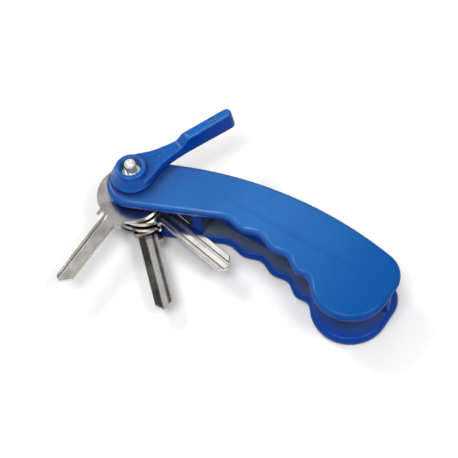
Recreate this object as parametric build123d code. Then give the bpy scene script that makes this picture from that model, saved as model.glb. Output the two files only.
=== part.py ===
from build123d import *
import os
from math import acos, atan2, cos, degrees, hypot, radians, sin, sqrt, tan

# Key organiser: a one-piece I-beam handle whose front fork holds three key
# blanks on a through bolt, clamped by a lever with a captive nut.
#
# Millimetres. The origin is on the bolt's axis at the handle's underside.
# +Z points up towards the lever, +X runs back along the handle's web, and the
# side with the finger scallops, the grip side, faces -Y.

# ---------------------------------------------------------------- handle
HANDLE_HEIGHT = 25.0
FLANGE_THICKNESS = 5.0
FLANGE_OUTER_FILLET = 2.3
FLANGE_GAP_FILLET = 2.2
NOSE_CENTRE = (1.2, -1.3)
NOSE_RADIUS = 12.1

BACK_CENTRE = (78.0, -140.4)
BACK_RADIUS = 170.0
BUTT_CENTRE = (107.3, 5.5)
BUTT_RADIUS = 16.7
BUTT_START_ANGLE = -135.0
REAR_CORNER_RADIUS = 12.0

GRIP_DIRECTION = 23.5
GRIP_STRAIGHT = 36.0
GRIP_CENTRE = (57.0, -80.4)
GRIP_RADIUS = 84.5
FINGER_DEPTH = 1.0
FINGER_FIRST_ANGLE = -6.9
FINGER_PITCH_ANGLE = 10.65
FINGER_RIDGES = 3
FINGER_LAST_ANGLE = 22.9

WEB_CENTRE_Y = 12.4
WEB_THICKNESS = 4.4
WEB_START_X = 32.0
WEB_END_X = 122.6
STOP_WALL_INNER_RADIUS = 29.5
STOP_WALL_THICKNESS = 5.0
STOP_WALL_INSET = 1.8
STOP_WALL_FILLET = 1.2

# ------------------------------------------------- bolt, nut and washers
BOLT_DIAMETER = 5.0
BOLT_HOLE_DIAMETER = 5.5
HEX_ACROSS_FLATS = 8.0
HEX_POCKET_CLEARANCE = 0.2
HEX_CHAMFER_ANGLE = 30.0
HEAD_HEIGHT = 3.5
BOLT_END_ABOVE_LEVER = 3.1
BOLT_END_FILLET = 1.9
NUT_HEIGHT = 2.7
NUT_BORE_DIAMETER = 5.1
BOSS_RADIUS = 6.5
BOSS_HEIGHT = 2.6
WASHER_OUTER_RADIUS = 5.0
WASHER_INNER_RADIUS = 2.65
WASHER_THICKNESS = 1.0
SPACER_OUTER_RADIUS = 6.0
SPACER_THICKNESS = 1.5

# ----------------------------------------------------------------- lever
LEVER_ANGLE = 67.2
CLAMP_GAP = 0.1
LEVER_HEIGHT = 6.9
HUB_BASE_RADIUS = 9.5
HUB_BASE_EDGE = 0.8
HUB_RIM_RADIUS = 6.8
HUB_RIM_EDGE = 1.1
HUB_RIM_FILLET = 0.6
HUB_HOLLOW = 0.35
HUB_FLOOR = 1.2
POCKET_MOUTH_RADIUS = 4.8
POCKET_MOUTH_DEPTH = 1.5
NECK_ROOT_ANGLE = 80.0
BAR_START = 28.8
BAR_END = 52.5
BAR_FILLET = 1.0
# Height of the arm's top above its base at places along it: the gently rising neck,
# the foot and the head of the ramp, and the bar's end.
ARM_PROFILE = ((0.0, 3.0), (24.2, 3.9), (28.2, 7.4), (BAR_END, 8.4))
# The arm narrows upwards: its plan at the base and at the bar's top, each with the
# root's radius, points along the neck's side, and the bar's half width.
ARM_BASE = (9.5, ((7.5, 7.2), (12.5, 5.1), (18.5, 4.0), (24.0, 3.5)), 3.35)
ARM_TOP = (7.2, ((7.5, 5.6), (12.5, 3.6), (18.5, 2.2), (24.0, 1.4)), 2.1)
EJECTOR_MARKS = (14.3, 41.7)
EJECTOR_RADIUS = 1.6
EJECTOR_RING_WIDTH = 0.5
EJECTOR_DEPTH = 0.25

# ------------------------------------------------------------------ keys
KEY_THICKNESS = 2.2
KEY_PLAY = 0.05
KEY_HOLE_DIAMETER = 5.16
KEY_EDGE_CHAMFER = 0.25
BLADE_HALF_WIDTH = 4.1
BLADE_START_FILLET = 0.7
GROOVE_START = 2.0
GROOVE_DEPTH = 0.6
CUTTER_RADIUS = 22.0

# Each key: level in the stack, angle of its blade about the bolt, bow radius,
# bow centre and tip measured from the bolt along the blade, collar (half width
# and end) on the low and on the high side, sideways offset of the blade, and the
# grooves (sideways centre and width) of its upper and lower faces.
KEYS = {
    "key_left": dict(
        level=2, angle=-87.3, bow=15.2, bow_centre=3.4, tip=55.6,
        low_collar=(7.4, 20.0), high_collar=(6.0, 20.6), offset=-1.0,
        upper_grooves=((-3.9, 1.8), (-1.4, 1.0)), lower_grooves=((0.6, 2.0), (3.0, 1.0))),
    "key_right": dict(
        level=1, angle=-10.0, bow=14.1, bow_centre=5.0, tip=58.0,
        low_collar=(5.5, 20.0), high_collar=(5.5, 20.0), offset=0.0,
        upper_grooves=((0.85, 1.7), (-2.7, 1.3)), lower_grooves=((-0.9, 1.8), (2.6, 1.2))),
    "key_middle": dict(
        level=0, angle=-41.3, bow=12.8, bow_centre=4.6, tip=59.6,
        low_collar=(5.6, 21.2), high_collar=(6.6, 25.6), offset=0.0,
        upper_grooves=((0.3, 3.0), (3.6, 1.5), (-2.9, 0.3)), lower_grooves=((-0.4, 1.6), (2.4, 1.0))),
}

# ------------------------------------------------- heights in the stack
LOWER_FLANGE_TOP = FLANGE_THICKNESS
UPPER_FLANGE_BOTTOM = HANDLE_HEIGHT - FLANGE_THICKNESS
STACK_BASE = LOWER_FLANGE_TOP + BOSS_HEIGHT
KEY_PITCH = WASHER_THICKNESS + KEY_THICKNESS + 2 * KEY_PLAY
LEVER_BASE = HANDLE_HEIGHT + CLAMP_GAP + WASHER_THICKNESS
LEVER_TOP = LEVER_BASE + LEVER_HEIGHT
NUT_BASE = LEVER_BASE + HUB_FLOOR
BOLT_TOP = LEVER_TOP + BOLT_END_ABOVE_LEVER


def polar(radius, angle, centre=(0.0, 0.0)):
    """Point at a radius and an angle in degrees about a centre."""
    return (centre[0] + radius * cos(radians(angle)), centre[1] + radius * sin(radians(angle)))


def disc(radius, bottom, height):
    """Upright cylinder on the bolt's axis, standing on z = bottom."""
    return Pos(0, 0, bottom) * Cylinder(radius, height, align=(Align.CENTER, Align.CENTER, Align.MIN))


def ring(outer, inner, bottom, height):
    return disc(outer, bottom, height) - disc(inner, bottom, height)


def hexagon(across_flats, bottom, height):
    """Upright hexagon on the bolt's axis, with a corner on +X."""
    corner_radius = across_flats / 2 / cos(radians(30))
    return extrude(Pos(0, 0, bottom) * RegularPolygon(corner_radius, 6), height)


def chamfered_hexagon(bottom, height):
    """Hexagon whose corners are turned down by a cone at both ends, as on a nut."""
    flat = HEX_ACROSS_FLATS / 2
    corner = flat / cos(radians(30))
    drop = (corner - flat) * tan(radians(HEX_CHAMFER_ANGLE))
    top = bottom + height
    profile = [(0, bottom), (flat, bottom), (corner, bottom + drop),
               (corner, top - drop), (flat, top), (0, top)]
    turned = revolve(Plane.XZ * make_face(Polyline(*profile, close=True)), Axis.Z)
    return hexagon(HEX_ACROSS_FLATS, bottom, height) & turned


# ---------------------------------------------------------------- handle
def back_tangent_angle():
    """Angle of the normal of the straight that touches the nose and the back arc."""
    across = BACK_CENTRE[0] - NOSE_CENTRE[0]
    along = BACK_CENTRE[1] - NOSE_CENTRE[1]
    distance = hypot(across, along)
    direction = degrees(atan2(along, across))
    return direction + degrees(acos((NOSE_RADIUS - BACK_RADIUS) / distance))


def finger_points():
    """Valleys and ridges of the finger scallops, in turn, along the grip arc."""
    points = []
    for ridge in range(FINGER_RIDGES):
        valley_angle = 90 - FINGER_FIRST_ANGLE - FINGER_PITCH_ANGLE * ridge
        ridge_angle = valley_angle - FINGER_PITCH_ANGLE / 2
        points.append(polar(GRIP_RADIUS + FINGER_DEPTH, valley_angle, GRIP_CENTRE))
        points.append(polar(GRIP_RADIUS - FINGER_DEPTH, ridge_angle, GRIP_CENTRE))
    points.append(polar(GRIP_RADIUS + FINGER_DEPTH, 90 - FINGER_LAST_ANGLE, GRIP_CENTRE))
    return points


def handle_outline():
    """Plan outline shared by both flanges."""
    back_angle = back_tangent_angle()
    nose_back = polar(NOSE_RADIUS, back_angle, NOSE_CENTRE)
    nose_grip = polar(NOSE_RADIUS, GRIP_DIRECTION - 90, NOSE_CENTRE)
    nose_front = polar(NOSE_RADIUS, (back_angle + GRIP_DIRECTION + 270) / 2, NOSE_CENTRE)
    grip_end = polar(GRIP_STRAIGHT, GRIP_DIRECTION, nose_grip)

    butt_start = polar(BUTT_RADIUS, BUTT_START_ANGLE, BUTT_CENTRE)
    butt_low = polar(BUTT_RADIUS, BUTT_START_ANGLE / 2, BUTT_CENTRE)
    butt_end = polar(BUTT_RADIUS, 0, BUTT_CENTRE)

    corner_x = butt_end[0] - REAR_CORNER_RADIUS
    reach = BACK_RADIUS - REAR_CORNER_RADIUS
    corner_y = BACK_CENTRE[1] + sqrt(reach ** 2 - (corner_x - BACK_CENTRE[0]) ** 2)
    corner = (corner_x, corner_y)
    join_angle = degrees(atan2(corner_y - BACK_CENTRE[1], corner_x - BACK_CENTRE[0]))
    corner_start = polar(REAR_CORNER_RADIUS, 0, corner)
    corner_middle = polar(REAR_CORNER_RADIUS, join_angle / 2, corner)
    corner_join = polar(BACK_RADIUS, join_angle, BACK_CENTRE)
    back_middle = polar(BACK_RADIUS, (join_angle + back_angle) / 2, BACK_CENTRE)
    back_join = polar(BACK_RADIUS, back_angle, BACK_CENTRE)

    edges = [
        ThreePointArc(nose_back, nose_front, nose_grip),
        Line(nose_grip, grip_end),
        Spline([grip_end, *finger_points(), butt_start], tangent_scalars=(1, 1),
               tangents=[polar(1, GRIP_DIRECTION), polar(1, BUTT_START_ANGLE + 90)]),
        ThreePointArc(butt_start, butt_low, butt_end),
        Line(butt_end, corner_start),
        ThreePointArc(corner_start, corner_middle, corner_join),
        ThreePointArc(corner_join, back_middle, back_join),
        Line(back_join, nose_back),
    ]
    return make_face(Wire(edges))


def flange(outline, bottom, outer_face_up):
    """One flange, rounded more on its outer face than on the face to the gap."""
    plate = extrude(Pos(0, 0, bottom) * outline, FLANGE_THICKNESS)
    lower_edges, upper_edges = plate.edges().group_by(Axis.Z)[0], plate.edges().group_by(Axis.Z)[-1]
    outer_edges, gap_edges = (upper_edges, lower_edges) if outer_face_up else (lower_edges, upper_edges)
    plate = fillet(outer_edges, FLANGE_OUTER_FILLET)
    gap_z = bottom if outer_face_up else bottom + FLANGE_THICKNESS
    gap_edges = plate.edges().filter_by(lambda edge: abs(edge.center().Z - gap_z) < 0.01)
    return fillet(gap_edges, FLANGE_GAP_FILLET)


def web():
    """Wall along the middle of the handle, from the stop wall to the butt."""
    length = WEB_END_X - WEB_START_X
    plan = Pos((WEB_START_X + WEB_END_X) / 2, WEB_CENTRE_Y) * RectangleRounded(length, WEB_THICKNESS, 2.0)
    return extrude(Pos(0, 0, FLANGE_THICKNESS / 2) * plan, HANDLE_HEIGHT - FLANGE_THICKNESS)


def stop_wall(outline):
    """Curved wall behind the fork that stops the key blades."""
    low = FLANGE_THICKNESS / 2
    height = HANDLE_HEIGHT - FLANGE_THICKNESS
    inset = offset(outline, amount=-STOP_WALL_INSET)
    behind = Pos(STOP_WALL_INNER_RADIUS, 0) * Rectangle(60, 80)
    band = Circle(STOP_WALL_INNER_RADIUS + STOP_WALL_THICKNESS) - Circle(STOP_WALL_INNER_RADIUS)
    plan = band & inset & behind
    wall = extrude(Pos(0, 0, low) * plan, height)
    return fillet(wall.edges().filter_by(Axis.Z), STOP_WALL_FILLET)


def handle():
    outline = handle_outline()
    body = flange(outline, 0, outer_face_up=False)
    body += flange(outline, UPPER_FLANGE_BOTTOM, outer_face_up=True)
    body += web()
    body += stop_wall(outline)
    body += disc(BOSS_RADIUS, LOWER_FLANGE_TOP, BOSS_HEIGHT)
    body -= disc(BOLT_HOLE_DIAMETER / 2, 0, HANDLE_HEIGHT)
    body -= hexagon(HEX_ACROSS_FLATS + HEX_POCKET_CLEARANCE, 0, HEAD_HEIGHT)
    return body


# ------------------------------------------------- bolt, nut and washers
def pivot_bolt():
    """Hexagon-head bolt; its head sits in the handle's underside pocket."""
    shank = disc(BOLT_DIAMETER / 2, HEAD_HEIGHT, BOLT_TOP - HEAD_HEIGHT)
    shank = fillet(shank.edges().sort_by(Axis.Z)[-1], BOLT_END_FILLET)
    return shank + chamfered_hexagon(0, HEAD_HEIGHT)


def lever_nut():
    nut = chamfered_hexagon(NUT_BASE, NUT_HEIGHT)
    nut -= disc(NUT_BORE_DIAMETER / 2, NUT_BASE, NUT_HEIGHT)
    return Rot(0, 0, LEVER_ANGLE) * nut


def washer(bottom):
    return ring(WASHER_OUTER_RADIUS, WASHER_INNER_RADIUS, bottom, WASHER_THICKNESS)


def key_washer(index):
    """Washer under key number index, counted from the bottom; the last is on top."""
    return washer(STACK_BASE + index * KEY_PITCH)


def upper_spacer():
    bottom = UPPER_FLANGE_BOTTOM - SPACER_THICKNESS
    return ring(SPACER_OUTER_RADIUS, WASHER_INNER_RADIUS, bottom, SPACER_THICKNESS)


# ----------------------------------------------------------------- lever
def lever_hub():
    """Turned hub that narrows from its base to its rim along a slightly hollow cone."""
    cone_start = (HUB_BASE_RADIUS, LEVER_BASE + HUB_BASE_EDGE)
    cone_end = (HUB_RIM_RADIUS, LEVER_TOP - HUB_RIM_EDGE)
    cone_middle = ((cone_start[0] + cone_end[0]) / 2 - HUB_HOLLOW, (cone_start[1] + cone_end[1]) / 2)
    profile = [
        Polyline((0, LEVER_BASE), (HUB_BASE_RADIUS, LEVER_BASE), cone_start),
        ThreePointArc(cone_start, cone_middle, cone_end),
        Polyline(cone_end, (HUB_RIM_RADIUS, LEVER_TOP), (0, LEVER_TOP), (0, LEVER_BASE)),
    ]
    hub = revolve(Plane.XZ * make_face(profile), Axis.Z)
    rim = hub.edges().group_by(Axis.Z)[-1]
    return fillet(rim, HUB_RIM_FILLET)


def arm_plan(root_radius, neck_side, half_width, height):
    """Plan of the lever's arm along +X at one height; its sides leave the hub as tangents."""
    direction = radians(NECK_ROOT_ANGLE)
    arc_start = BAR_END - ARM_BASE[2]
    arc_end = arc_start + half_width
    sides = []
    for side in (1, -1):
        root = polar(root_radius, side * NECK_ROOT_ANGLE)
        neck = [(x, side * y) for x, y in neck_side]
        bar_start = (BAR_START, side * half_width)
        sides.append(Spline([root, *neck, bar_start],
                            tangents=[(sin(direction), -side * cos(direction)), (1, 0)]))
        sides.append(Line(bar_start, (arc_start, side * half_width)))
    end = ThreePointArc((arc_start, half_width), (arc_end, 0), (arc_start, -half_width))
    root_line = Line(polar(root_radius, NECK_ROOT_ANGLE), polar(root_radius, -NECK_ROOT_ANGLE))
    return Pos(0, 0, LEVER_BASE + height) * make_face(Wire([*sides, end, root_line]))


def arm_height(distance):
    """Height of the arm's top above its base at a distance from the bolt."""
    for (near, low), (far, high) in zip(ARM_PROFILE, ARM_PROFILE[1:]):
        if distance <= far:
            return low + (high - low) * (distance - near) / (far - near)


def lever_arm():
    """Tapered neck that ramps up to a taller, narrower bar with rounded upper edges."""
    full_height = ARM_PROFILE[-1][1]
    clear_above = LEVER_BASE + 2 * full_height
    ramp_head = ARM_PROFILE[2]
    top_line = [(distance, LEVER_BASE + height) for distance, height in ARM_PROFILE]
    over_arm = Plane.XZ * make_face(Polyline(*top_line, (BAR_END, clear_above), (0, clear_above), close=True))
    arm = loft([arm_plan(*ARM_BASE, 0), arm_plan(*ARM_TOP, full_height)])
    arm -= extrude(over_arm, HUB_BASE_RADIUS, both=True)
    bar_edges = arm.edges().filter_by(
        lambda edge: edge.center().Z > LEVER_BASE + ramp_head[1] - BAR_FILLET
        and edge.center().X > ramp_head[0]
        and edge.length > ARM_TOP[2])
    return fillet(bar_edges, BAR_FILLET)


def ejector_mark(distance, top):
    """Shallow ring that the mould's ejector pin leaves in a top surface."""
    inner = EJECTOR_RADIUS - EJECTOR_RING_WIDTH
    return Pos(distance, 0, 0) * ring(EJECTOR_RADIUS, inner, top - EJECTOR_DEPTH, LEVER_HEIGHT)


def lever():
    body = lever_hub() + lever_arm()
    body -= hexagon(HEX_ACROSS_FLATS + HEX_POCKET_CLEARANCE, NUT_BASE, LEVER_HEIGHT)
    body -= disc(BOLT_HOLE_DIAMETER / 2, LEVER_BASE, LEVER_HEIGHT)
    body -= disc(POCKET_MOUTH_RADIUS, LEVER_TOP - POCKET_MOUTH_DEPTH, LEVER_HEIGHT)
    for distance in EJECTOR_MARKS:
        body -= ejector_mark(distance, LEVER_BASE + arm_height(distance))
    return Rot(0, 0, LEVER_ANGLE) * body


# ------------------------------------------------------------------ keys
def milled_groove(start, tip, centre, width, surface, direction):
    """Groove along the blade; its end shows the round cutter's run-out."""
    floor = surface - direction * GROOVE_DEPTH
    length = tip - start + width
    slab = Pos(start + length / 2, centre, floor + direction * KEY_THICKNESS / 2) * Box(
        length, width, KEY_THICKNESS)
    cutter = Pos(start, centre, floor + direction * CUTTER_RADIUS) * Rot(90, 0, 0) * Cylinder(
        CUTTER_RADIUS, width)
    return slab + cutter


def key_plan(spec):
    """Plan of a key blank with its blade along +X and the bolt at the origin."""
    low_width, low_end = spec["low_collar"]
    high_width, high_end = spec["high_collar"]
    tip = spec["tip"]
    half = BLADE_HALF_WIDTH
    bow = Pos(spec["bow_centre"], 0) * Circle(spec["bow"])
    collar = Rectangle(low_end, low_width, align=(Align.MIN, Align.MAX))
    collar += Rectangle(high_end, high_width, align=(Align.MIN, Align.MIN))
    blade = make_face(Polyline((0, -half), (tip - 3.0, -half), (tip - 0.3, -1.5), (tip, -0.9),
                               (tip - 0.5, 0.2), (tip - 3.6, half), (0, half), close=True))
    plan = bow + collar + Pos(0, spec["offset"]) * blade
    last_corner = max(low_end, high_end) + BLADE_START_FILLET
    corners = plan.vertices().filter_by(lambda corner: corner.X < last_corner)
    return fillet(corners, BLADE_START_FILLET)


def key_blank(spec):
    bottom = STACK_BASE + WASHER_THICKNESS + KEY_PLAY + spec["level"] * KEY_PITCH
    top = bottom + KEY_THICKNESS
    shift = spec["offset"]
    start = max(spec["low_collar"][1], spec["high_collar"][1]) + GROOVE_START
    blank = extrude(Pos(0, 0, bottom) * key_plan(spec), KEY_THICKNESS)
    blank = chamfer(blank.edges().group_by(Axis.Z)[-1] + blank.edges().group_by(Axis.Z)[0],
                    KEY_EDGE_CHAMFER)
    for centre, width in spec["upper_grooves"]:
        blank -= milled_groove(start, spec["tip"], shift + centre, width, top, 1)
    for centre, width in spec["lower_grooves"]:
        blank -= milled_groove(start, spec["tip"], shift + centre, width, bottom, -1)
    blank -= disc(KEY_HOLE_DIAMETER / 2, bottom, KEY_THICKNESS)
    return Rot(0, 0, spec["angle"]) * blank


def build_nodes():
    nodes = {
        "handle": handle(),
        "pivot_bolt": pivot_bolt(),
        "upper_spacer": upper_spacer(),
        "lever_washer": washer(HANDLE_HEIGHT + CLAMP_GAP),
        "lever": lever(),
        "lever_nut": lever_nut(),
    }
    for index in range(len(KEYS) + 1):
        nodes[f"key_washer_{index + 1}"] = key_washer(index)
    for name, spec in KEYS.items():
        nodes[name] = key_blank(spec)
    return nodes


os.makedirs("parts", exist_ok=True)
for node_name, shape in build_nodes().items():
    export_step(shape, f"parts/{node_name}.step")
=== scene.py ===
import math

import bmesh
import bpy
from mathutils import Matrix, Vector


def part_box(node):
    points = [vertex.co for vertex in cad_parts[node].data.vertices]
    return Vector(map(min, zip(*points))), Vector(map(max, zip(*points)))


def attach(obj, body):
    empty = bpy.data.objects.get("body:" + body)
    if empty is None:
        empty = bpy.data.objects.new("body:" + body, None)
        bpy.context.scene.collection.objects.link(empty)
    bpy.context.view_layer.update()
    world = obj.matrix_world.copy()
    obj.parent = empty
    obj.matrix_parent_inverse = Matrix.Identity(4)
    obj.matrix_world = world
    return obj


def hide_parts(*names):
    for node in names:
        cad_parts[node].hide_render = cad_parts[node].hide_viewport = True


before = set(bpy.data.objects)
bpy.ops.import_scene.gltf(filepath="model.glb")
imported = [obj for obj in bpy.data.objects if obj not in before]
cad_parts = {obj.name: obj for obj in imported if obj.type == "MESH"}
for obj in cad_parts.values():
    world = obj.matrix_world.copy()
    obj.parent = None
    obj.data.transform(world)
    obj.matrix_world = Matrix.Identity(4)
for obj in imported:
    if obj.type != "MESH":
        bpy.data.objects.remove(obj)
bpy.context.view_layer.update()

# Key organiser with an I-beam handle, three swing-out key blanks and a clamping
# lever. Lengths are in metres and angles in degrees, in the frame's own axes.
MM = 0.001

# ------------------------------------------------------------------ camera
CAMERA_PLACE = (0.2232, -0.2027, 0.4348)
CAMERA_AZIMUTH = 40.34
CAMERA_ELEVATION = 57.0
CAMERA_ROLL = -6.95
CAMERA_LENS = 91.2
SENSOR_WIDTH = 36.0

# ------------------------------------------------------------------ lights
# The object's middle, which every light points at.
LIGHT_TARGET = (0.05, 0.0, 0.01)
FRONT_BOX = dict(azimuth=280.0, elevation=68.0, distance=1.5, size=0.60, power=12.0)
SIDE_BOX = dict(azimuth=170.0, elevation=48.0, distance=1.5, size=0.40, power=7.0)
RIM_BOX = dict(azimuth=3.0, elevation=57.0, distance=1.2, size=0.34, power=4.6)
# Grey of the surroundings, level with the object and straight above it.
HORIZON_GREY = 0.35
ZENITH_GREY = 0.62
# Cards on the far side, which the flat faces mirror: azimuth from +X, and how bright
# the card is there. They blend into each other and into the grey beyond both ends.
CARDS = (
    (96, 0.25), (113, 0.25),
    (121, 1.25), (134.8, 1.25),
    (136.2, 0.05), (138.8, 0.05),
    (140.4, 0.33), (165, 0.33),
)
CARD_BLEND = math.degrees(0.25)
# The cards' lower and upper edges, as the sine of the elevation where each edge
# starts to fade and where it has gone.
CARD_FOOT = (0.35, 0.20)
CARD_HEAD = (0.92, 0.97)
# The floor as the camera sees it, the darker grey that it gives back to matt faces,
# so that it doesn't wash them out, and the grey that shiny faces mirror.
FLOOR_HALF_WIDTH = 3.0
FLOOR_TOP = -0.02 * MM
FLOOR_DARK = (0.75, 0.75, 0.75, 1.0)
FLOOR_LIGHT = (0.77, 0.77, 0.77, 1.0)
FLOOR_BOUNCE = (0.42, 0.42, 0.42, 1.0)
FLOOR_MIRRORED = (0.75, 0.75, 0.75, 1.0)

# ------------------------------------------------------------ blue plastic
# Top faces are a cloudy mix of a light and a dark blue. Walls have a deeper one as painted shade,
# and so have the faces that lie below LOW_TO, in the fork and the gap.
BLUE_LIGHT = (0.006, 0.112, 0.365, 1.0)
BLUE_DARK = (0.001, 0.084, 0.298, 1.0)
BLUE_SIDE_SHADE = (0.001, 0.043, 0.330, 1.0)
LEVER_LIGHT = (0.004, 0.108, 0.400, 1.0)
LEVER_DARK = (0.001, 0.080, 0.330, 1.0)
LEVER_SIDE_SHADE = (0.001, 0.046, 0.320, 1.0)
BLUE_LOW_SHADE = (0.001, 0.040, 0.270, 1.0)
LOW_FROM, LOW_TO = 22 * MM, 18 * MM
# Towards the butt the top turns to a deeper blue and the gloss lower, and a little towards
# the nose as well.
DEEP_BLUE = (0.001, 0.064, 0.262, 1.0)
BUTT_FROM, BUTT_TO = 66 * MM, 116 * MM
NOSE_FROM, NOSE_TO = 34 * MM, 4 * MM
NOSE_SHARE = 0.40
GLOSS_LEVEL = 0.36
DULL_LEVEL = 0.10
# Painted shade: a dark rim on edges that face the rear, grey deep inside hollows, and shade where
# another part lies close above a face. Rubbed edges, lighter, which also carry a painted highlight.
REAR_RIM_SHADE = (0.001, 0.022, 0.110, 1.0)
REAR = (-0.647, 0.762, 0.0)
HOLLOW_SHADE_GREY = (0.100, 0.125, 0.150, 1.0)
HOLLOW_REACH = 22 * MM
CONTACT_BLUE = (0.014, 0.030, 0.150, 1.0)
CONTACT_REACH = 14 * MM
BLUE_WEAR_AND_HIGHLIGHT = (0.050, 0.240, 0.620, 1.0)
HANDLE_EDGE_RADIUS = 0.25 * MM
LEVER_EDGE_RADIUS = 1.6 * MM
HANDLE_ROUGHNESS = (0.26, 0.36)
LEVER_ROUGHNESS = (0.14, 0.22)
# Waves a metre in the pigment's clouds, in the orange peel and in the two grains.
CLOUD_WAVES = 38.0
PEEL_WAVES = 210.0
GRAIN_WAVES = 1300.0
FINE_WAVES = 5200.0
# Shallow line over the web, where the thick moulding shrank as it cooled.
SINK_LINE_Y = 12.4 * MM
SINK_LINE_HALF_WIDTH = 1.3 * MM
SINK_LINE_START, SINK_LINE_FULL = 36 * MM, 50 * MM
SINK_LINE_FADES, SINK_LINE_END = 109 * MM, 117 * MM
SINK_LINE_DEPTH = 0.20 * MM

# -------------------------------------------------------------- metal parts
NICKEL = (0.74, 0.71, 0.67, 1.0)
NICKEL_DULL = (0.55, 0.53, 0.50, 1.0)
GROOVE_SHADE = (0.10, 0.095, 0.085, 1.0)
BRASS_TINT = (0.80, 0.72, 0.55, 1.0)
ZINC = (0.78, 0.79, 0.80, 1.0)
ZINC_DULL = (0.50, 0.51, 0.52, 1.0)
# The way each blade points, the roughness of its plate and how much painted dark reflection darkens it.
KEY_FINISHES = {
    "key_left": (-87.3, 0.18, 0.15),
    "key_right": (-10.0, 0.10, 0.0),
    "key_middle": (-41.3, 0.10, 0.80),
}
GROOVE_ROUGHNESS = 0.16
# Depths below a key's top between which its flat face ends and a milled groove begins.
GROOVE_FROM, GROOVE_TO = 0.15 * MM, 0.40 * MM
CREASE_REACH = 0.8 * MM
KEY_EDGE_RADIUS = 0.10 * MM
ZINC_EDGE_RADIUS = 0.12 * MM
ZINC_METALLIC = 1.0
FROSTED_METALLIC = 0.60
ZINC_NODES = ("lever_nut", "lever_washer", "key_washer_1", "key_washer_2", "key_washer_3", "key_washer_4")
NYLON_LIGHT = (0.80, 0.79, 0.74, 1.0)
NYLON_DARK = (0.62, 0.60, 0.54, 1.0)

# --------------------------------------------------------------- pivot bolt
THREAD_PITCH = 0.8 * MM
THREAD_DEPTH = 0.42 * MM
THREAD_START_ABOVE_HEAD = 18 * MM
RINGS_A_TURN = 10
BOLT_SEGMENTS = 72
SHANK_RADIUS = 2.5 * MM
# The smooth point above the thread, whose dome ends in a flat of DOME_TIP shank radii.
POINT_LENGTH = 6.3 * MM
DOME_HEIGHT = 1.8 * MM
DOME_TIP = 0.50
HEAD_HEIGHT = 3.5 * MM
HEAD_FLAT_RADIUS = 4.0 * MM
HEAD_CHAMFER_SLOPE = math.tan(math.radians(30))
SHARP_EDGE = 38


class Graph:
    """The node tree of a material or a world, with short calls for the nodes used here."""

    def __init__(self, owner):
        owner.use_nodes = True
        self.owner = owner
        self.tree = owner.node_tree

    def put(self, socket, value):
        """Link a socket to another, or set its value."""
        if isinstance(value, bpy.types.NodeSocket):
            self.tree.links.new(value, socket)
        else:
            socket.default_value = value

    def node(self, kind, inputs=None, **settings):
        node = self.tree.nodes.new("ShaderNode" + kind)
        for name, value in settings.items():
            setattr(node, name, value)
        for name, value in (inputs or {}).items():
            self.put(node.inputs[name], value)
        return node

    def object_place(self):
        return self.node("TexCoord").outputs["Object"]

    def math(self, operation, *values):
        node = self.node("Math", dict(enumerate(values)), operation=operation)
        return node.outputs[0]

    def noise(self, vector, scale, detail=2.0, roughness=0.5):
        inputs = {"Vector": vector, "Scale": scale, "Detail": detail, "Roughness": roughness}
        return self.node("TexNoise", inputs).outputs[0]

    def remap(self, value, low, high, new_low=0.0, new_high=1.0):
        inputs = {0: value, 1: low, 2: high, 3: new_low, 4: new_high}
        return self.node("MapRange", inputs).outputs[0]

    def mix(self, factor, first, second):
        node = self.node("Mix", data_type="RGBA")
        self.put(node.inputs[0], factor)
        self.put(node.inputs[6], first)
        self.put(node.inputs[7], second)
        return node.outputs[2]

    def split(self, vector):
        return self.node("SeparateXYZ", {0: vector}).outputs

    def turned(self, vector, angle, scale):
        """The vector turned back by an angle about Z, then scaled."""
        node = self.node("Mapping", {"Vector": vector, "Rotation": (0, 0, -math.radians(angle))})
        stretch = self.node("Mapping", {"Vector": node.outputs[0], "Scale": scale})
        return stretch.outputs[0]

    def rounded(self, radius):
        """Normals of the faces as they would be with small radii on their edges."""
        return self.node("Bevel", {"Radius": radius}, samples=6).outputs[0]

    def edges(self, rounded):
        """0 on open faces, rising to 1 on sharp edges."""
        plain = self.node("NewGeometry").outputs["Normal"]
        alike = self.node("VectorMath", {0: rounded, 1: plain}, operation="DOT_PRODUCT").outputs["Value"]
        return self.remap(alike, 0.995, 0.86)

    def openness(self, distance, own_shape_only=True):
        """1 on open faces, falling towards 0 in hollows and close to other faces."""
        node = self.node("AmbientOcclusion", {"Distance": distance}, samples=12, only_local=own_shape_only)
        return node.outputs["AO"]

    def bump(self, height, strength, distance, normal=None):
        inputs = {"Height": height, "Strength": strength, "Distance": distance}
        if normal is not None:
            inputs["Normal"] = normal
        return self.node("Bump", inputs).outputs[0]

    def finish(self, **inputs):
        surface = self.tree.nodes["Principled BSDF"]
        for name, value in inputs.items():
            self.put(surface.inputs[name.replace("_", " ")], value)
        return self.owner


def material_graph(name):
    """Graph of a new material of this name."""
    return Graph(bpy.data.materials.new(name))


# --------------------------------------------------------------- materials
def sink_line_dip(graph, place):
    """0 on the open face, rising to 1 along the middle of the sink line."""
    x, y, _ = graph.split(place)
    across = graph.math("DIVIDE", graph.math("SUBTRACT", y, SINK_LINE_Y), SINK_LINE_HALF_WIDTH)
    squared = graph.math("MULTIPLY", across, across)
    dip = graph.math("EXPONENT", graph.math("MULTIPLY", squared, -1.0))
    fade_in = graph.remap(x, SINK_LINE_START, SINK_LINE_FULL)
    fade_out = graph.remap(x, SINK_LINE_END, SINK_LINE_FADES)
    return graph.math("MULTIPLY", dip, graph.math("MULTIPLY", fade_in, fade_out))


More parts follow.
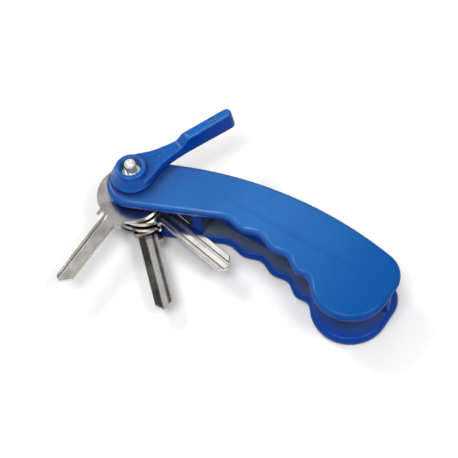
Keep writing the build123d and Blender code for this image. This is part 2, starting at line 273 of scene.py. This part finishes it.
def cloudy_blue(graph, place, clouds, grain, light, dark):
    """Mottled blue of a top face, deeper towards the butt and the nose, and how far it has deepened, from 0
    to 1.
    """
    mottle = graph.math("ADD", graph.math("MULTIPLY", clouds, 0.75), graph.math("MULTIPLY", grain, 0.35))
    colour = graph.mix(graph.remap(mottle, 0.38, 0.72), dark, light)
    x = graph.split(place)["X"]
    at_butt = graph.remap(x, BUTT_FROM, BUTT_TO)
    at_nose = graph.remap(x, NOSE_FROM, NOSE_TO, 0.0, NOSE_SHARE)
    towards_ends = graph.math("MAXIMUM", at_butt, at_nose)
    return graph.mix(towards_ends, colour, DEEP_BLUE), towards_ends


def shaded_by_place(graph, place, colour, side):
    """Painted shade: deeper blues for walls, low faces, the rear rim, hollows and shaded tops.

    Also gives how far a face is from being an open top, from 0 to 1.
    """
    facing = graph.node("NewGeometry").outputs["Normal"]
    # Walls, and faces low down in the fork and the gap, get a deeper blue as painted shade.
    sideways = graph.remap(graph.split(facing)["Z"], 0.60, 0.20)
    low_down = graph.remap(graph.split(place)["Z"], LOW_FROM, LOW_TO)
    colour = graph.mix(sideways, colour, side)
    colour = graph.mix(low_down, colour, BLUE_LOW_SHADE)
    # Edges that face the rear get a dark rim as painted shade.
    rearward = graph.node("VectorMath", {0: facing, 1: REAR}, operation="DOT_PRODUCT").outputs["Value"]
    colour = graph.mix(graph.remap(rearward, 0.20, 0.60), colour, REAR_RIM_SHADE)
    # Faces deep inside hollows turn grey as painted shade.
    hollow = graph.remap(graph.openness(HOLLOW_REACH), 0.64, 0.34)
    colour = graph.mix(hollow, colour, HOLLOW_SHADE_GREY)

    turned_away = graph.math("MAXIMUM", sideways, low_down)
    open_top = graph.math("SUBTRACT", 1.0, turned_away)
    close_by = graph.remap(graph.openness(CONTACT_REACH, own_shape_only=False), 0.985, 0.74, 0.0, 0.90)
    colour = graph.mix(graph.math("MULTIPLY", close_by, open_top), colour, CONTACT_BLUE)
    return colour, turned_away


def moulded_plastic(name, light, dark, side, edge_radius, roughness_range, with_sink_line):
    """Semi-gloss blue plastic: cloudy pigment, fine spark-eroded grain, painted shade by place, and rubbed
    edges that also carry a painted highlight.
    """
    graph = material_graph(name)
    place = graph.object_place()
    clouds = graph.noise(place, CLOUD_WAVES, 3.0)
    grain = graph.noise(place, GRAIN_WAVES, 3.0, 0.6)
    fine = graph.noise(place, FINE_WAVES, 2.0)
    peel = graph.noise(place, PEEL_WAVES, 1.0)
    colour, towards_ends = cloudy_blue(graph, place, clouds, grain, light, dark)
    colour, turned_away = shaded_by_place(graph, place, colour, side)

    rounded = graph.rounded(edge_radius)
    glancing = graph.node("LayerWeight", {"Blend": 0.5}).outputs["Facing"]
    squarely_seen = graph.remap(glancing, 0.90, 0.62)
    # Rubbed edges turn a lighter blue, which also serves as a painted highlight along the edges.
    wear = graph.math("MULTIPLY", graph.edges(rounded), graph.remap(clouds, 0.35, 0.65, 0.1, 0.5))
    wear = graph.math("MULTIPLY", wear, squarely_seen)
    colour = graph.mix(wear, colour, BLUE_WEAR_AND_HIGHLIGHT)

    gloss = graph.remap(graph.math("MAXIMUM", towards_ends, turned_away), 0.0, 1.0, GLOSS_LEVEL, DULL_LEVEL)
    gloss = graph.math("MULTIPLY", gloss, squarely_seen)
    roughness = graph.remap(grain, 0.3, 0.7, *roughness_range)
    roughness = graph.math("ADD", roughness, graph.math("MULTIPLY", wear, 0.15))
    normal = graph.bump(peel, 0.25, 0.06 * MM, rounded)
    normal = graph.bump(grain, 0.18, 0.05 * MM, normal)
    normal = graph.bump(fine, 0.10, 0.02 * MM, normal)
    if with_sink_line:
        dip = sink_line_dip(graph, place)
        normal = graph.bump(graph.math("MULTIPLY", dip, -1.0), 1.0, SINK_LINE_DEPTH, normal)
        # Along the sink line the colour also darkens towards the deep blue, as painted shade.
        colour = graph.mix(graph.math("MULTIPLY", dip, 0.35), colour, DEEP_BLUE)
    return graph.finish(Base_Color=colour, Roughness=roughness, Normal=normal, Specular_IOR_Level=gloss)


def nickel_plate(node_name, angle, dullness, reflection_darkening):
    """Bright nickel plate, brushed along the blade, with painted dark reflection mostly on its flat faces,
    painted shade in creases, and duller in the grooves.
    """
    graph = material_graph("nickel_" + node_name)
    place = graph.object_place()
    brushed = graph.noise(graph.turned(place, angle, (60, 5200, 900)), 1.0, 3.0)
    smears = graph.noise(place, 160.0, 3.0, 0.6)
    pits = graph.noise(place, 2600.0, 2.0)
    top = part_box(node_name)[1][2]
    milled = graph.remap(graph.split(place)["Z"], top - GROOVE_FROM, top - GROOVE_TO)

    colour = graph.mix(graph.remap(smears, 0.42, 0.68, 0.0, 0.55), NICKEL, NICKEL_DULL)
    # Painted dark reflection: flat faces darken by the key's share, milled floors by half of it.
    dark_reflection = graph.remap(milled, 0.0, 1.0, reflection_darkening, 0.5 * reflection_darkening)
    colour = graph.mix(dark_reflection, colour, GROOVE_SHADE)
    # Painted shade in the creases at the foot of the groove walls.
    crease = graph.remap(graph.openness(CREASE_REACH), 0.86, 0.55)
    colour = graph.mix(crease, colour, GROOVE_SHADE)
    rounded = graph.rounded(KEY_EDGE_RADIUS)
    wear = graph.math("MULTIPLY", graph.edges(rounded), graph.remap(smears, 0.4, 0.6, 0.05, 0.3))
    colour = graph.mix(wear, colour, BRASS_TINT)
    roughness = graph.remap(smears, 0.3, 0.7, dullness - 0.04, dullness + 0.06)
    roughness = graph.math("ADD", roughness, graph.math("MULTIPLY", milled, GROOVE_ROUGHNESS))
    normal = graph.bump(brushed, 0.10, 0.01 * MM)
    normal = graph.bump(pits, 0.03, 0.01 * MM, normal)
    return graph.finish(Base_Color=colour, Metallic=1.0, Roughness=roughness, Normal=normal)


def zinc_plate(name, metallic):
    """Blotchy zinc plate, which looks the more frosted the less metallic it is."""
    graph = material_graph(name)
    place = graph.object_place()
    blotches = graph.noise(place, 420.0, 3.0, 0.6)
    colour = graph.mix(graph.remap(blotches, 0.45, 0.75, 0.0, 0.6), ZINC, ZINC_DULL)
    rounded = graph.rounded(ZINC_EDGE_RADIUS)
    colour = graph.mix(graph.math("MULTIPLY", graph.edges(rounded), 0.4), colour, NICKEL)
    normal = graph.bump(graph.noise(place, 3000.0, 2.0), 0.08, 0.01 * MM, rounded)
    roughness = graph.remap(blotches, 0.3, 0.7, 0.14, 0.30)
    return graph.finish(Base_Color=colour, Metallic=metallic, Normal=normal, Roughness=roughness)


def natural_nylon(name):
    """Milky plastic with faint clouds and a fine grain."""
    graph = material_graph(name)
    place = graph.object_place()
    clouds = graph.noise(place, 300.0, 3.0)
    colour = graph.mix(clouds, NYLON_DARK, NYLON_LIGHT)
    normal = graph.bump(graph.noise(place, 2400.0, 2.0), 0.15, 0.02 * MM)
    roughness = graph.remap(clouds, 0.3, 0.7, 0.45, 0.6)
    return graph.finish(Base_Color=colour, Normal=normal, Roughness=roughness)


def floor_white():
    """Pale floor with faint clouds, darker to the object's matt faces than to the camera."""
    graph = material_graph("floor_white")
    place = graph.object_place()
    clouds = graph.noise(place, 9.0, 2.0)
    colour = graph.mix(clouds, FLOOR_DARK, FLOOR_LIGHT)
    ray = graph.node("LightPath").outputs
    bounce = graph.mix(ray["Is Glossy Ray"], FLOOR_BOUNCE, FLOOR_MIRRORED)
    colour = graph.mix(ray["Is Camera Ray"], bounce, colour)
    return graph.finish(Base_Color=colour, Roughness=0.7, Specular_IOR_Level=0.2)


def paint(node_name, material):
    """Give a CAD node one material."""
    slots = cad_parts[node_name].data.materials
    slots.clear()
    slots.append(material)


# -------------------------------------------------------------- pivot bolt
def hexagon_radius(angle, flat_radius):
    """Distance from the axis to a hexagon's side, with a corner on +X."""
    within = math.radians((math.degrees(angle) % 60) - 30)
    return flat_radius / math.cos(within)


def ring_stack(name, heights, radius_at, segments):
    """Closed upright solid whose rings have the given radius at each height and angle."""
    mesh = bmesh.new()
    rings = []
    for height in heights:
        ring = []
        for step in range(segments):
            angle = 2 * math.pi * step / segments
            radius = radius_at(height, angle)
            ring.append(mesh.verts.new((radius * math.cos(angle), radius * math.sin(angle), height)))
        rings.append(ring)
    for low, high in zip(rings, rings[1:]):
        for step in range(segments):
            after = (step + 1) % segments
            mesh.faces.new((low[step], low[after], high[after], high[step]))
    mesh.faces.new(list(reversed(rings[0])))
    mesh.faces.new(rings[-1])
    data = bpy.data.meshes.new(name)
    mesh.to_mesh(data)
    mesh.free()
    piece = bpy.data.objects.new(name, data)
    bpy.context.scene.collection.objects.link(piece)
    return piece


def thread_radius(height, angle, start, top):
    """M5 thread, a rounded ridge that climbs one pitch a turn, below a smooth domed point."""
    phase = (height / THREAD_PITCH - angle / (2 * math.pi)) % 1.0
    ridge = 0.5 + 0.5 * math.cos(2 * math.pi * phase)
    from_ends = min(height - start, top - POINT_LENGTH - height)
    run_out = min(1.0, max(0.0, from_ends / THREAD_PITCH))
    radius = SHANK_RADIUS - THREAD_DEPTH * run_out * (1.0 - ridge ** 0.8)
    from_top = max(0.0, height - (top - DOME_HEIGHT)) / DOME_HEIGHT
    return radius * math.sqrt(1.0 - (1.0 - DOME_TIP ** 2) * from_top ** 2.6)


def threaded_bolt():
    """The pivot bolt with its hexagon head and a real helical thread."""
    (_, _, bottom), (_, _, top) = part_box("pivot_bolt")
    head_top = bottom + HEAD_HEIGHT
    thread_start = head_top + THREAD_START_ABOVE_HEAD
    corner_radius = HEAD_FLAT_RADIUS / math.cos(math.radians(30))
    drop = (corner_radius - HEAD_FLAT_RADIUS) * HEAD_CHAMFER_SLOPE

    heights = [bottom, bottom + drop, head_top - drop, head_top, head_top + 0.01 * MM, thread_start]
    threaded_length = top - thread_start
    rings = round(threaded_length / THREAD_PITCH * RINGS_A_TURN)
    heights += [thread_start + threaded_length * (ring + 1) / rings for ring in range(rings)]

    def radius_at(height, angle):
        if height > head_top:
            return thread_radius(height, angle, thread_start, top)
        from_end = min(height - bottom, head_top - height)
        cone = HEAD_FLAT_RADIUS + from_end / HEAD_CHAMFER_SLOPE
        return min(cone, hexagon_radius(angle, HEAD_FLAT_RADIUS))

    piece = ring_stack("pivot_bolt_threaded", heights, radius_at, BOLT_SEGMENTS)
    piece.data.shade_smooth()
    edge_split = piece.modifiers.new("sharp_edges", "EDGE_SPLIT")
    edge_split.split_angle = math.radians(SHARP_EDGE)
    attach(piece, "handle")
    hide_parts("pivot_bolt")
    return piece


# ------------------------------------------------------------------- stage
def pale_floor():
    """Large square, a hair below the handle so that the two faces don't coincide."""
    half = FLOOR_HALF_WIDTH
    corners = [(x, y, FLOOR_TOP) for x, y in ((-half, -half), (half, -half), (half, half), (-half, half))]
    data = bpy.data.meshes.new("floor")
    data.from_pydata(corners, [], [(0, 1, 2, 3)])
    data.materials.append(floor_white())
    floor = bpy.data.objects.new("floor", data)
    bpy.context.scene.collection.objects.link(floor)


def soft_box(name, azimuth, elevation, distance, size, power):
    """Square area light that points at the object's middle."""
    data = bpy.data.lights.new(name, "AREA")
    data.shape = "SQUARE"
    data.size = size
    data.energy = power
    lamp = bpy.data.objects.new(name, data)
    bpy.context.scene.collection.objects.link(lamp)
    turn = Matrix.Rotation(math.radians(azimuth), 4, "Z")
    lift = Matrix.Rotation(math.radians(90 - elevation), 4, "Y")
    lamp.matrix_world = Matrix.Translation(LIGHT_TARGET) @ turn @ lift @ Matrix.Translation((0, 0, distance))


def studio_sky():
    """Grey surroundings, brighter overhead, with light and dark cards on the far side."""
    world = bpy.data.worlds.new("studio")
    bpy.context.scene.world = world
    graph = Graph(world)
    direction = graph.split(graph.node("TexCoord").outputs["Generated"])
    height = direction["Z"]
    plain = graph.remap(height, 0.0, 1.0, HORIZON_GREY, ZENITH_GREY)
    azimuth = graph.math("ARCTAN2", direction["Y"], direction["X"])

    first, last = math.radians(CARDS[0][0]), math.radians(CARDS[-1][0])
    ramp = graph.node("ValToRGB", {0: graph.remap(azimuth, first, last)})
    stops = ramp.color_ramp.elements
    stops[0].position, stops[1].position = 0.0, 1.0
    for angle, _ in CARDS[1:-1]:
        stops.new((math.radians(angle) - first) / (last - first))
    for stop, (_, grey) in zip(stops, CARDS):
        stop.color = (grey, grey, grey, 1.0)

    blend = math.radians(CARD_BLEND)
    on_far_side = graph.math("MULTIPLY", graph.remap(azimuth, first - blend, first),
                             graph.remap(azimuth, last + blend, last))
    within = graph.math("MULTIPLY", on_far_side, graph.remap(height, CARD_HEAD[1], CARD_HEAD[0]))
    within = graph.math("MULTIPLY", within, graph.remap(height, CARD_FOOT[1], CARD_FOOT[0]))
    background = graph.tree.nodes["Background"]
    graph.put(background.inputs["Strength"], 1.0)
    graph.put(background.inputs["Color"], graph.mix(within, plain, ramp.outputs["Color"]))


def studio_camera():
    """Long lens that looks down on the grip side."""
    data = bpy.data.cameras.new("camera")
    data.sensor_width = SENSOR_WIDTH
    data.lens = CAMERA_LENS
    data.clip_start = 10 * MM
    camera = bpy.data.objects.new("camera", data)
    bpy.context.scene.collection.objects.link(camera)
    turn = Matrix.Rotation(math.radians(CAMERA_AZIMUTH), 4, "Z")
    tilt = Matrix.Rotation(math.radians(90 - CAMERA_ELEVATION), 4, "X")
    roll = Matrix.Rotation(math.radians(CAMERA_ROLL), 4, "Z")
    camera.matrix_world = Matrix.Translation(CAMERA_PLACE) @ turn @ tilt @ roll
    bpy.context.scene.camera = camera


# ------------------------------------------------------------------- build
paint("handle", moulded_plastic("blue_plastic", BLUE_LIGHT, BLUE_DARK, BLUE_SIDE_SHADE,
                                HANDLE_EDGE_RADIUS, HANDLE_ROUGHNESS, with_sink_line=True))
paint("lever", moulded_plastic("lever_plastic", LEVER_LIGHT, LEVER_DARK, LEVER_SIDE_SHADE,
                               LEVER_EDGE_RADIUS, LEVER_ROUGHNESS, with_sink_line=False))
for key_name, key_finish in KEY_FINISHES.items():
    paint(key_name, nickel_plate(key_name, *key_finish))
bright_zinc = zinc_plate("plated_steel", ZINC_METALLIC)
for zinc_node in ZINC_NODES:
    paint(zinc_node, bright_zinc)
paint("upper_spacer", natural_nylon("nylon"))
threaded_bolt().data.materials.append(zinc_plate("frosted_steel", FROSTED_METALLIC))

pale_floor()
studio_sky()
soft_box("front_box", **FRONT_BOX)
soft_box("side_box", **SIDE_BOX)
soft_box("rim_box", **RIM_BOX)
studio_camera()
bpy.context.scene.view_settings.view_transform = "Standard"
